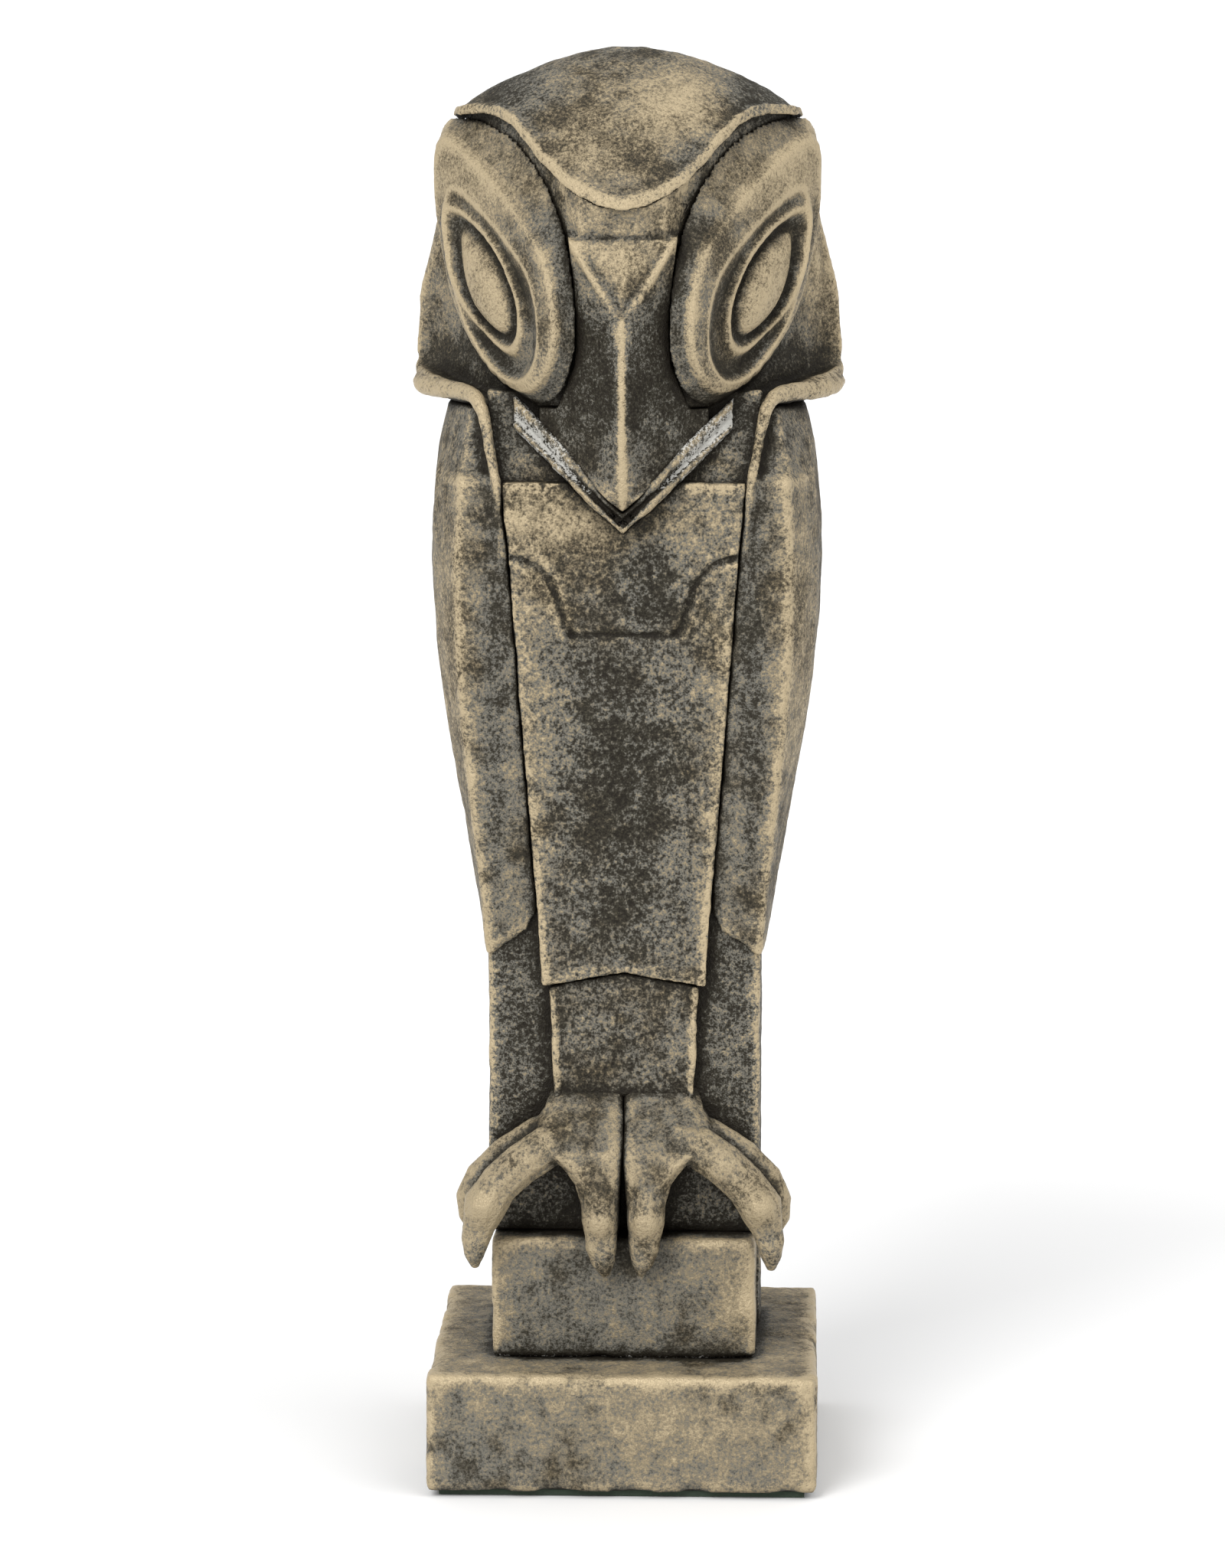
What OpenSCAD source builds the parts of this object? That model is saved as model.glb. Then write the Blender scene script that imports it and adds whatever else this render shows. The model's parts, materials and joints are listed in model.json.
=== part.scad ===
// Standing owl statuette: a pylon-shaped bird on a perch block and plinth.
// Millimetres, +Z up, the owl looks towards -Y, the underside of the felt is z = 0.
// Left and right are those of a viewer who faces the owl: left is -X.

/* [Plinth and block] */
// Width of the plinth
plinth_w = 81.4; // [76:0.2:90]
// Depth of the plinth
plinth_d = 81.4; // [78:0.2:90]
// Height of the top face of the plinth
plinth_top = 26; // [22:0.5:30]
// Chamfer of the worn plinth and block edges
wear = 0.8; // [0.3:0.1:2]
// Thickness of the felt under the plinth
felt_t = 1.2; // [0.8:0.1:3]
// Width of the perch block
block_w = 55.4; // [52:0.2:58]
// Height of the perch block
block_h = 25.8; // [22:0.2:28]
// Distance of the block's front face from the plinth's front face
block_setback = 15.8; // [14:0.2:17]
// Depth of the perch block, up to the front of the tail
block_d = 28.7; // [26:0.1:32]

/* [Body] */
// Width of the torso and tail slab
torso_w = 57; // [56:0.2:58]
// Back face of the torso
torso_back = 20; // [18:0.5:22]
// Height of the horizontal chest edge
chest_z = 211.5; // [210:0.5:213]
// Height of the shoulder plane, where the head starts
neck_z = 226.5; // [226:0.1:227]
// Thickness of the breast panel
breast_t = 4; // [2:0.2:5]
// Thickness of the wings' front flange
flange_t = 3; // [1.5:0.1:3.2]
// Thickness of the wings' rear flange
rear_t = 2.6; // [1:0.2:5]

/* [Head] */
// Height of the crown
crown_z = 300; // [296:1:310]
// Angle between an eye disc and the front
disc_turn = 54; // [53:0.5:55]
// Thickness of an eye disc
disc_t = 5.6; // [5:0.1:6]
// Thickness of the visor's lip
lip_t = 1.6; // [1:0.1:2]
// Part of the crown's radius that rests on the hood
seat_r = 0.9; // [0.86:0.01:0.92]

/* [Hidden] */
block_front = -plinth_d/2 + block_setback;
block_back = block_front + block_d;
block_top = plinth_top + block_h;
half = torso_w/2;
panel_bottom = 105.6;      // side corners of the breast panel's lower edge
panel_peak = 3;            // rise of that edge in the middle
shin_bottom = block_top + 29.6;
rod_d = 5;
rod_y = 12;
rod_top = 248;
rod_play = 0.3;            // radial gap round the tie rod
nut_w = 9;
nut_h = 4;
nut_z = 242;               // underside of the nut cast into the hood
dowel_d = 5;
disc_pin_d = 4;
foot_pin_d = 3;
glue_gap = 0.1;            // radial gap of the glued pins
dowel_rows = [[192, 35.4], [152, 32.4]];   // wing dowels: height, half length
dowel_y = -4;
foot_pin_x = 4.8;
block_dowel_x = 16;
disc_x = 14.8;             // a point of the disc's face plane
disc_y = -36;
disc_gap = 0.3;            // space between a disc's back and the hood
brow_y = -26;              // flat front of the hood behind the bill
ruff_run = 0.92;           // rise of the ruff's arms per mm of width
ruff_z = 205.7;            // height of the bill's tip
ruff_h = 4.6;              // height of a ruff arm, measured upright
bore_steps = 48;
arc_steps = 3;             // points between two control points of an outline

// ---------------------------------------------------------------- lines of the body
// Each line gives a value against height.
front_line = [[block_top, -18], [chest_z, -25], [neck_z, -20]];          // torso's front, y
mantle_line = [[121, 18.2], [157, 21], [197, 24], [chest_z, 25.4],       // wings' inner edge, x
               [neck_z - 5, 27.2], [neck_z, 28.2]];
corner_line = [[111, 28.8], [121, 29.4], [137, 31.2], [154, 33.1],       // wings' front corner, x
               [173, 34.7], [193, 35.1], [chest_z, 34.2], [neck_z, 31.8]];
bulge_line = [[111, 29.4], [118, 30.6], [129, 32.5], [146, 35.4],        // wings' widest line, x
              [162, 38.4], [179, 40.3], [196, 41.1], [208, 40.6], [219, 39.2], [neck_z, 37.2]];
rear_line = [[111, 15], [152, 12], [neck_z, 9]];                         // wings' rear edge, x
flange_line = [[111, 0.8], [121, 1.4], [143, flange_t], [chest_z, flange_t],
               [chest_z + 2.4, 1.2], [neck_z, 0.9]];                     // front flange, thickness
bead_line = [[111, 0.8], [121, 1.4], [143, flange_t], [chest_z, flange_t + 0.2],
             [chest_z + 2.4, 2.8], [neck_z, 2.4]];                       // its inner edge
fold_line = [[111, 0.6], [128, rear_t], [neck_z, rear_t]];               // rear flange, thickness

// ---------------------------------------------------------------- lines of the head
// Edge of the crown, from the middle of the visor round to the back: x, y, z
crown_edge = [[0, -37.5, 268], [9.6, -34.4, 271.2], [16.8, -27.6, 277.2], [23.6, -18.4, 285],
              [29.6, -10.4, 287.2], [36, -2, 286.6], [35.8, 9, 285.8], [28.6, 20, 285.4],
              [15.4, 25.8, 285], [0, 27.4, 285]];
// Outline of an eye disc: face, and the broader back, x and z
disc_face = [[39.8, 281.8], [31.2, 276], [23, 267.4], [17, 258.4], [14.4, 247], [14.8, 236.8],
             [18.8, 229.8], [24.6, 230.2], [31.5, 236.8], [37, 247], [40.2, 260], [41.6, 274]];
disc_back = [[37.4, 284.6], [25.4, 282.6], [17, 274], [11.8, 262], [9.9, 248.6], [10, 237],
             [14, 228.4], [20.6, 227.6], [28, 232.6], [33.4, 241.6], [37.6, 257], [39.8, 273.6]];
disc_mid = [28.8, 255.6];
// Almond outline of the eyelid's ridge, x and z
lid_line = [[37.4, 268], [31.4, 264.8], [26.8, 259.6], [23.6, 252.4], [22, 245], [22.2, 239.4],
            [24.4, 236.6], [28.6, 239.2], [33, 244.6], [36.2, 252.4], [37.8, 261]];
lid_mid = [29.8, 252.2];
// Collar over the shoulders, from its seat to its hollow: three points x, y and height over the
// neck, then half width, back y, height at the back and height beside the bill
collar = [[[[28.2, -21, 0], [33.6, -14.5, 0], [36.6, -6, 0]], 36.8, 21.6, 0, 0],
          [[[29.6, -23.8, 1], [37.4, -13.4, 2.2], [43.2, -2, 3]], 45.2, 29, 3.4, 0.4],
          [[[29.2, -23.2, 2.2], [36.4, -12.6, 4.6], [42.4, -1.6, 6]], 45.6, 29.4, 6.4, 0.8],
          [[[28.2, -20, 1.2], [33.5, -9.5, 3], [39, 0.6, 4.6]], 44.8, 29.2, 6.8, 1.2],
          [[[29, -7.6, 1.8], [34.5, -0.2, 3.6], [39, 5.6, 5.2]], 44.9, 29.2, 7.4, 1.6]];
// Hood walls over the collar: height at the brow, height at the side, half width, back y
hood_rows = [[236, 236, 45.2, 29.4], [248, 248, 44.4, 29.3], [260.6, 263.6, 40.6, 28.6],
             [268.8, 282.4, 36.2, 25.8]];

// ---------------------------------------------------------------- helpers
function mix(a, b, t) = a + (b - a)*t;
function add(v, i = 0, s = 0) = i == len(v) ? s : add(v, i + 1, s + v[i]);
function mean(v) = [for (k = [0:2]) add([for (p = v) p[k]])/len(v)];
function front_y(z) = lookup(z, front_line);
// Half outline given from front to back on +X, closed counter-clockwise seen from above
function full(h) = concat(h, [for (i = [len(h)-2:-1:1]) [-h[i][0], h[i][1], h[i][2]]]);
// Smooth curve through four neighbouring points, at t from the second to the third
function curve(a, b, c, d, t) = 0.5*(2*b + (c - a)*t + (2*a - 5*b + 4*c - d)*t*t
                                     + (3*b - a - 3*c + d)*t*t*t);
function smooth_closed(v, k) = let (n = len(v))
    [for (i = [0:n-1]) for (j = [0:k-1])
        curve(v[(i+n-1)%n], v[i], v[(i+1)%n], v[(i+2)%n], j/k)];
// The plane of an eye disc: a point over the face at height d
function disc_pt(p, d) = let (s = sin(disc_turn), c = cos(disc_turn))
    [p[0] + s*d, disc_y + (p[0] - disc_x)*s/c - c*d, p[1]];
// A point at x and z that lies d behind the face, measured square to it
function behind(p, d) = [p[0], disc_y + (p[0] - disc_x)*tan(disc_turn) + d/cos(disc_turn), p[1]];
function wall_y(x) = max(brow_y, behind([x, 0], disc_t + disc_gap)[1]);
function scaled(v, mid, k) = [for (p = v) mid + (p - mid)*k];

// Closed skin over loops of equal length, fan caps at both ends; flip turns the quads' diagonals
module skin(loops, flip = false) {
    n = len(loops[0]);
    m = len(loops);
    pts = concat([for (l = loops) each l], [mean(loops[0]), mean(loops[m-1])]);
    a = n*m;
    faces = concat(
        [for (j = [0:m-2]) for (i = [0:n-1]) let (p = j*n + i, q = j*n + (i+1)%n)
            each flip ? [[p, p+n, q], [p+n, q+n, q]] : [[p, p+n, q+n], [p, q+n, q]]],
        [for (i = [0:n-1]) [i, (i+1)%n, a]],
        [for (i = [0:n-1]) [(m-1)*n + (i+1)%n, (m-1)*n + i, a+1]]);
    polyhedron(points = pts, faces = faces, convexity = 6);
}

// Skin over ribbons: each loop is an outer line followed by the reversed inner line
module ribbon(loops) {
    n = len(loops[0]);
    m = len(loops);
    h = n/2;
    t = (m-1)*n;
    pts = [for (l = loops) each l];
    faces = concat(
        [for (j = [0:m-2]) for (i = [0:n-1]) let (p = j*n + i, q = j*n + (i+1)%n)
            each [[p, p+n, q+n], [p, q+n, q]]],
        [for (i = [0:h-2]) each [[i, i+1, n-2-i], [i, n-2-i, n-1-i]]],
        [for (i = [0:h-2]) each [[t+i+1, t+i, t+n-2-i], [t+n-2-i, t+i, t+n-1-i]]]);
    polyhedron(points = pts, faces = faces, convexity = 8);
}

// Closed ring of loops, the last joined to the first
module ring(loops) {
    n = len(loops[0]);
    m = len(loops);
    pts = [for (l = loops) each l];
    faces = [for (j = [0:m-1]) for (i = [0:n-1])
        let (p = j*n + i, q = j*n + (i+1)%n, r = ((j+1)%m)*n + i, s = ((j+1)%m)*n + (i+1)%n)
        each [[p, r, s], [p, s, q]]];
    polyhedron(points = pts, faces = faces, convexity = 8);
}

// Box with every edge chamfered, standing on z = 0, centred in x, front face at y = 0
module worn_box(w, d, h, c) {
    hull() {
        translate([-w/2 + c, c, 0]) cube([w - 2*c, d - 2*c, h]);
        translate([-w/2, c, c]) cube([w, d - 2*c, h - 2*c]);
        translate([-w/2 + c, 0, c]) cube([w - 2*c, d, h - 2*c]);
    }
}

// Places a flat outline (x, height) on the leaning front of the torso
module on_front() {
    lean = atan((front_line[0][1] - front_line[1][1])/(chest_z - block_top));
    translate([0, front_line[1][1], chest_z]) rotate([90 + lean, 0, 0])
        translate([0, -chest_z, 0]) children();
}

module round_bar(d, h) cylinder(d = d, h = h, $fn = bore_steps);
// Bar along x, centred on x = 0
module cross_bar(d, half_len) translate([-half_len, 0, 0]) rotate([0, 90, 0])
    round_bar(d, 2*half_len);
// Bar along a disc's normal, from height a to height b over its face
module disc_bar(a, b, d) translate(disc_pt(disc_mid, 0)) rotate([0, 0, disc_turn])
    rotate([90, 0, 0]) translate([0, 0, a]) round_bar(d, b - a);
module both_sides() {
    children();
    mirror([1, 0, 0]) children();
}

// ---------------------------------------------------------------- base
module plinth() color("DimGray") difference() {
    translate([0, -plinth_d/2, felt_t]) worn_box(plinth_w, plinth_d, plinth_top - felt_t, wear);
    translate([0, rod_y, 0]) round_bar(rod_d + 2*rod_play, plinth_top + 1);
    translate([0, rod_y, 0]) round_bar(18, 11);
    both_sides() translate([block_dowel_x, block_front + 12, plinth_top - 12])
        round_bar(dowel_d + 2*glue_gap, 13);
}

module felt_pad() color("DarkGreen") translate([-plinth_w/2 + 2.5, -plinth_d/2 + 2.5, 0])
    cube([plinth_w - 5, plinth_d - 5, felt_t]);

module perch_block() color("Gray") difference() {
    translate([0, block_front, plinth_top]) worn_box(block_w, block_d, block_h, wear);
    both_sides() {
        translate([block_dowel_x, block_front + 12, plinth_top - 1])
            round_bar(dowel_d + 2*glue_gap, 13);
        translate([foot_pin_x, block_front + 3.7, block_top - 8])
            round_bar(foot_pin_d + 2*glue_gap, 9);
    }
}

// ---------------------------------------------------------------- body
module torso() color("SlateGray") difference() {
    rotate([90, 0, 90]) translate([0, 0, -half]) linear_extrude(torso_w) polygon([
        [front_line[0][1], block_top], [front_line[1][1], chest_z],
        [front_line[2][1], neck_z], [torso_back, neck_z], [torso_back, plinth_top],
        [block_back, plinth_top], [block_back, block_top]]);
    translate([0, rod_y, 0]) round_bar(rod_d + 2*rod_play, neck_z + 1);
    for (r = dowel_rows) translate([0, dowel_y, r[0]]) cross_bar(dowel_d + 2*glue_gap, 50);
}

// One section of the right wing; tip raises the points at both edges of the slanting tip
function wing_loop(z, tip) = let (
    zs = [for (i = [0:13]) z + tip*(i < 4 ? (4-i)/4 : i > 10 ? (i-10)/3 : 0)],
    r = [for (q = zs) lookup(q, mantle_line)], f = [for (q = zs) lookup(q, corner_line)],
    w = [for (q = zs) lookup(q, bulge_line)], b = [for (q = zs) lookup(q, rear_line)],
    y = [for (q = zs) front_y(q)], t = [for (q = zs) lookup(q, flange_line)],
    e = [for (q = zs) lookup(q, bead_line)], u = [for (q = zs) lookup(q, fold_line)],
    outer = [[r[0], y[0]-e[0]], [r[1]+1.3, y[1]-e[1]], [r[2]+2, y[2]-t[2]],
             [mix(r[3]+2, f[3], 0.6), y[3]-t[3]-0.1], [f[4]-0.7, y[4]-t[4]],
             [f[5], y[5]-t[5]+0.7], [mix(f[6], w[6], 0.5), y[6]-t[6]+7],
             [mix(f[7], w[7], 0.86), y[7]-t[7]+13.5], [w[8], -4], [w[9]-(w[9]-half)*0.04, 3],
             [w[10]-(w[10]-half)*0.2, 11], [w[11]-(w[11]-half)*0.52, 17.5],
             [mix(half, b[12], 0.15), torso_back+u[12]], [b[13], torso_back+u[13]]],
    inner = [[r[0], y[0]], [mix(r[1], half, 0.2), y[1]], [mix(r[2], half, 0.4), y[2]],
             [mix(r[3], half, 0.6), y[3]], [mix(r[4], half, 0.85), y[4]], [half, y[5]],
             [half, mix(y[6], torso_back, 0.2)], [half, mix(y[7], torso_back, 0.36)],
             [half, mix(y[8], torso_back, 0.52)], [half, mix(y[9], torso_back, 0.68)],
             [half, mix(y[10], torso_back, 0.84)], [half, torso_back],
             [mix(half, b[12], 0.5), torso_back], [b[13], torso_back]])
    concat([for (i = [0:13]) [outer[i][0], outer[i][1], zs[i]]],
           [for (i = [13:-1:0]) [inner[i][0], inner[i][1], zs[i]]]);

module wing() difference() {
    ribbon(concat([wing_loop(112, 9)], [for (z = [122.5:8.9:chest_z - 4]) wing_loop(z, 0)],
        [for (z = [chest_z, chest_z + 0.8, chest_z + 2.4, chest_z + 6, chest_z + 10.5, neck_z])
            wing_loop(z, 0)]));
    for (r = dowel_rows) translate([0, dowel_y, r[0]])
        cross_bar(dowel_d + 2*glue_gap, r[1] + 0.4);
}

module wing_right() color("Gray") wing();
module wing_left() color("Gray") mirror([1, 0, 0]) wing();

// Breast panel with the bib cut into it and a notch for the ruff
module breast_panel() color("Peru") {
    notch = ruff_z - ruff_h;
    side = [for (p = [[121], [157], [197], [chest_z]]) [lookup(p[0], mantle_line) - 0.25, p[0]]];
    h = concat([[0, panel_bottom + panel_peak], [9, panel_bottom + 1.4], [17, panel_bottom]], side,
               [[(chest_z - notch)/ruff_run, chest_z], [0, notch]]);
    bib = [[23.2, 196], [18.9, 194.8], [15.2, 191.3], [12.8, 186.4], [11.2, 180.4], [0, 180]];
    cut = [0, 0.35];
    difference() {
        on_front() linear_extrude(breast_t)
            polygon(concat(h, [for (i = [len(h)-2:-1:1]) [-h[i][0], h[i][1]]]));
        on_front() translate([0, 0, breast_t - 0.5]) linear_extrude(2) both_sides()
            for (i = [0:len(bib)-2])
                polygon([bib[i] + cut, bib[i] - cut, bib[i+1] - cut, bib[i+1] + cut]);
    }
}

// Shin panel with raised side ridges
module shin_panel() color("Peru") {
    side = [[14.6, shin_bottom], [15.1, shin_bottom + 11], [15.6, panel_bottom - 0.2]];
    on_front() linear_extrude(2.6) polygon(concat(side, [[0, panel_bottom + panel_peak - 0.3]],
        [for (i = [2:-1:0]) [-side[i][0], side[i][1]]]));
    on_front() linear_extrude(3.3) both_sides() polygon(concat(side,
        [for (i = [2:-1:0]) side[i] - [1.4, 0]]));
}

// ---------------------------------------------------------------- feet
// A toe over sections [x, y, z, half width, half height], z from the top of the block
module toe(path) {
    n = len(path);
    skin([for (j = [0:n-1]) let (a = path[max(j-1, 0)], b = path[min(j+1, n-1)], c = path[j],
        d = [b[0]-a[0], b[1]-a[1], b[2]-a[2]], t = d/norm(d),
        s = cross(t, [0, -0.86, 0.5]), e = s/norm(s), u = cross(e, t))
        [for (g = [0:36:324])
            [c[0], c[1], c[2] + block_top] + e*(c[3]*cos(g)) - u*(c[4]*sin(g))]]);
}
// Section of the ankle and web from the feet's middle groove to its outer edge b, front at y
function ankle(z, a, b, y) = let (q = z + block_top, k = front_y(q))
    [[a, k, q], [a, y + 1.2, q], [a + 1.2, y, q], [b - 2, y, q], [b, y + 2, q], [b, k, q]];

module foot() difference() {
    union() {
        skin([ankle(0, 1.3, 7.8, -27), ankle(8, 0.9, 8.8, -31.6), ankle(13, 0.5, 10, -32.8),
              ankle(16.4, 0.3, 12.6, -33.2), ankle(19.4, 0.1, 16.6, -32.4),
              ankle(22.4, 0.1, 18.6, -30.4), ankle(26, 0.1, 17.6, -26.8),
              ankle(29.5, 0.1, 15.4, -22.6)]);
        toe([[5.4, -26, 20, 4.6, 3.2], [5.1, -28.6, 15, 4.3, 3.8], [4.8, -29.8, 9.6, 3.9, 3.9],
             [4.8, -30.2, 5.6, 3.9, 3.9], [4.6, -30, 2.4, 3.4, 3.3], [4.4, -30.2, -0.4, 3.5, 3.2],
             [4, -29.4, -4, 2.6, 2.2], [3.6, -28, -7.2, 0.8, 0.8]]);
        toe([[10.4, -26.2, 21.8, 4.2, 4], [16, -27.8, 20.2, 4.7, 4.5],
             [21, -28.8, 17, 4.6, 4.5], [25.8, -29.2, 12.6, 4.5, 4.4],
             [28.8, -29.6, 8, 4.6, 4.4], [30.1, -29.6, 3.8, 3.6, 3.5],
             [30.9, -29.4, 0.4, 3.1, 3], [31.1, -28.8, -2.8, 2.1, 2.1], [31, -28, -5.6, 0.8, 0.8]]);
        toe([[9.5, -22.6, 25, 3.2, 3], [18, -23, 22.4, 3.4, 3.2], [25.2, -23, 17.8, 3.4, 3.2],
             [30, -22.8, 12.6, 3.6, 3.5], [32.4, -22.4, 8, 3.1, 3], [32.8, -22.2, 3.8, 2.1, 2.1],
             [32.4, -22, 1, 0.8, 0.8]]);
    }
    translate([foot_pin_x, block_front + 3.7, block_top - 2])
        round_bar(foot_pin_d + 2*glue_gap, 14);
}

module foot_right() color("Goldenrod") foot();
module foot_left() color("Goldenrod") mirror([1, 0, 0]) foot();

// ---------------------------------------------------------------- throat and bill
// Side planes of the bill fall back from its ridge
function mask_y(x) = -38 + 0.85*(x - 1.2);

// One arm of the V below the bill
module ruff_arm() skin([for (x = [0, 3, 6.5, 12, 17, 22.5]) let (
    top = ruff_z + ruff_run*x, low = top - ruff_h,
    y = max(-34.5, min(mask_y(x) - 0.6, front_y(top) - 2.2)))
    [[x, front_y(low), low], [x, y + 0.6, low], [x, y - 0.6, low + ruff_h*0.2],
     [x, y + 0.5, low + ruff_h*0.45], [x, y - 0.3, low + ruff_h*0.7], [x, y + 0.7, top],
     [x, front_y(top), top]]]);
module throat_ruff() color("Tan") both_sides() ruff_arm();

// Section of the bill: height, half width and y of the front, half width and y at the side
function bill_loop(r, back) = [[-r[3], back, r[0]], [-r[3], r[4], r[0]], [-r[1], r[2], r[0]],
    [r[1], r[2], r[0]], [r[3], r[4], r[0]], [r[3], back, r[0]]];
// The same below the head, where the sides end on the ruff
function tip_loop(z, f, y) = let (b = (z - ruff_z)/ruff_run)
    bill_loop([z, f, y, b, max(y + 0.4, mask_y(b))], front_y(z) - 0.02);
module bill_wedge() color("Goldenrod") {
    skin([tip_loop(206.1, 0.3, -34.6), tip_loop(209, 0.7, -36), tip_loop(chest_z, 1, -36.8),
          tip_loop(218, 1.1, -37.5), tip_loop(221.8, 1.2, -37.9),
          bill_loop([neck_z, 1.2, -38.1, 17.4, mask_y(17.4)], front_y(neck_z) - 0.02)]);
    skin([for (r = [[neck_z, 1.2, -38.1, 13.6, mask_y(13.6)], [236, 1.3, -38.6, 9.8, -31.4],
                    [244.4, 1.5, -38.4, 9.5, -32], [252.6, 6.2, -37, 10, -32.8],
                    [261.4, 10.8, -35.4, 11.1, -34.8], [262, 10.8, -34.4, 11.1, -33.8],
                    [265.4, 11.4, -34.8, 11.9, -34], [268.4, 12.6, -33.8, 13.4, -32.8]])
        bill_loop(r, brow_y)]);
}

// ---------------------------------------------------------------- head
// Crown edge with a point between each two control points
function flip_x(p) = [-p[0], p[1], p[2]];
crown_curve = concat([for (i = [0:len(crown_edge)-2]) let (k = len(crown_edge) - 1,
    a = i > 0 ? crown_edge[i-1] : flip_x(crown_edge[1]), b = crown_edge[i], c = crown_edge[i+1],
    d = i < k-1 ? crown_edge[i+2] : flip_x(crown_edge[k-1]))
    each [b, curve(a, b, c, d, 0.5)]], [crown_edge[len(crown_edge)-1]]);
// Crown surface: loop at a part r of the radius, sunk by drop
function crown_at(r, drop) = full([for (p = crown_curve) let (g = 1 - 0.8*r*r - 0.2*r)
    [p[0]*r, mix(2, p[1], r), mix(p[2], crown_z, g) - drop]]);
function seat_at(r) = crown_at(r, lip_t + 5*(1 - r));

// Rounded rear half of a hood outline
function rear_arc(w, back, z) = [for (a = [0:11.25:90])
    [w*pow(cos(a), 0.62), mix(13, back, pow(sin(a), 1.1)), z]];
// Outline of the hood: brow, the wall behind the disc, rear
function hood_loop(zf, zs, w, back) = full(concat(
    [for (x = [0, 5, 10, 14, 17.5, 22, 26.5, 31, 35.5, mix(35.5, w, 0.6)])
        [x, min(12, wall_y(x)), mix(zf, zs, min(1, max(0, (x - 8)/14)))]],
    rear_arc(w, back, zs)));
// Outline of the collar
function collar_loop(c) = full(concat(
    [for (x = [0, 5, 10, 14, 17.5, 21.5, 25]) [x, wall_y(x), neck_z + c[4]]],
    [for (p = c[0]) p + [0, 0, neck_z]], rear_arc(c[1], c[2], neck_z + c[3])));

module hood() color("SlateGray") difference() {
    skin(concat([for (c = collar) collar_loop(c)],
        [for (h = hood_rows) hood_loop(h[0], h[1], h[2], h[3])],
        [for (r = [seat_r, 0.6, 0.3, 0.05]) seat_at(r)]));
    translate([0, rod_y, neck_z - 1]) round_bar(rod_d + 2*rod_play, rod_top + 3 - neck_z);
    translate([-nut_w/2, rod_y - nut_w/2, nut_z]) cube([nut_w, nut_w, nut_h]);
    both_sides() disc_bar(-disc_t - 12.5, 0, disc_pin_d + 2*glue_gap);
}

module crown_cap() color("Gray")
    skin(concat([for (r = [0.05, 0.3, 0.6, seat_r]) seat_at(r)],
        [crown_at(0.985, lip_t), crown_at(1, lip_t*0.5)],
        [for (r = [0.985, 0.93, 0.8, 0.64, 0.46, 0.28, 0.1]) crown_at(r, 0)]), flip = true);

// Dished disc with a raised rim
module eye_disc() difference() {
    face = smooth_closed(disc_face, arc_steps);
    skin([[for (p = smooth_closed(disc_back, arc_steps)) behind(p, disc_t)],
          [for (p = face) disc_pt(p, -0.5)],
          [for (p = scaled(face, disc_mid, 0.975)) disc_pt(p, 0)],
          [for (p = scaled(face, disc_mid, 0.91)) disc_pt(p, 0)],
          [for (p = scaled(face, disc_mid, 0.84)) disc_pt(p, -1.8)]]);
    disc_bar(-20, -2.8, disc_pin_d + 2*glue_gap);
}

module eyelid() {
    line = smooth_closed(lid_line, arc_steps);
    ring([for (r = [[1.12, -1.8], [1.03, 0.5], [0.97, 0.5], [0.86, -1.8]])
        [for (p = scaled(line, lid_mid, r[0])) disc_pt(p, r[1])]]);
}

module eyeball() {
    line = smooth_closed(lid_line, arc_steps);
    skin([for (a = [0, 12, 26, 42, 60, 76])
        [for (p = scaled(line, lid_mid, 0.84*cos(a))) disc_pt(p, -1.8 + 4*sin(a))]]);
}

module eye_disc_right() color("DarkKhaki") eye_disc();
module eye_disc_left() color("DarkKhaki") mirror([1, 0, 0]) eye_disc();
module eyelid_right() color("Goldenrod") eyelid();
module eyelid_left() color("Goldenrod") mirror([1, 0, 0]) eyelid();
module eyeball_right() color("Khaki") eyeball();
module eyeball_left() color("Khaki") mirror([1, 0, 0]) eyeball();

// ---------------------------------------------------------------- hidden hardware
module tie_rod() color("Silver") translate([0, rod_y, 4]) round_bar(rod_d, rod_top - 4);
module tie_nut() color("Silver") translate([0, rod_y, 9.5 - nut_h]) difference() {
    cylinder(d = 9.24, h = nut_h, $fn = 6);
    translate([0, 0, -1]) round_bar(rod_d, nut_h + 2);
}
module tie_washer() color("Silver") translate([0, rod_y, 9.5]) difference() {
    round_bar(15, 1.5);
    translate([0, 0, -1]) round_bar(rod_d + 0.4, 4);
}
module anchor_nut() color("Silver") difference() {
    translate([-nut_w/2, rod_y - nut_w/2, nut_z]) cube([nut_w, nut_w, nut_h]);
    translate([0, rod_y, nut_z - 1]) round_bar(rod_d, nut_h + 2);
}
module block_dowel() translate([block_dowel_x, block_front + 12, plinth_top - 11.5])
    round_bar(dowel_d, 23);
module block_dowel_left() color("BurlyWood") mirror([1, 0, 0]) block_dowel();
module block_dowel_right() color("BurlyWood") block_dowel();
module wing_dowel(r) color("BurlyWood") translate([0, dowel_y, r[0]]) cross_bar(dowel_d, r[1]);
module wing_dowel_upper() wing_dowel(dowel_rows[0]);
module wing_dowel_lower() wing_dowel(dowel_rows[1]);
module foot_pin() translate([foot_pin_x, block_front + 3.7, block_top - 7.6])
    round_bar(foot_pin_d, 19);
module foot_pin_left() color("Silver") mirror([1, 0, 0]) foot_pin();
module foot_pin_right() color("Silver") foot_pin();
module disc_pin() color("BurlyWood") disc_bar(-disc_t - 12, -3, disc_pin_d);
module disc_pin_right() disc_pin();
module disc_pin_left() mirror([1, 0, 0]) disc_pin();

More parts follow.
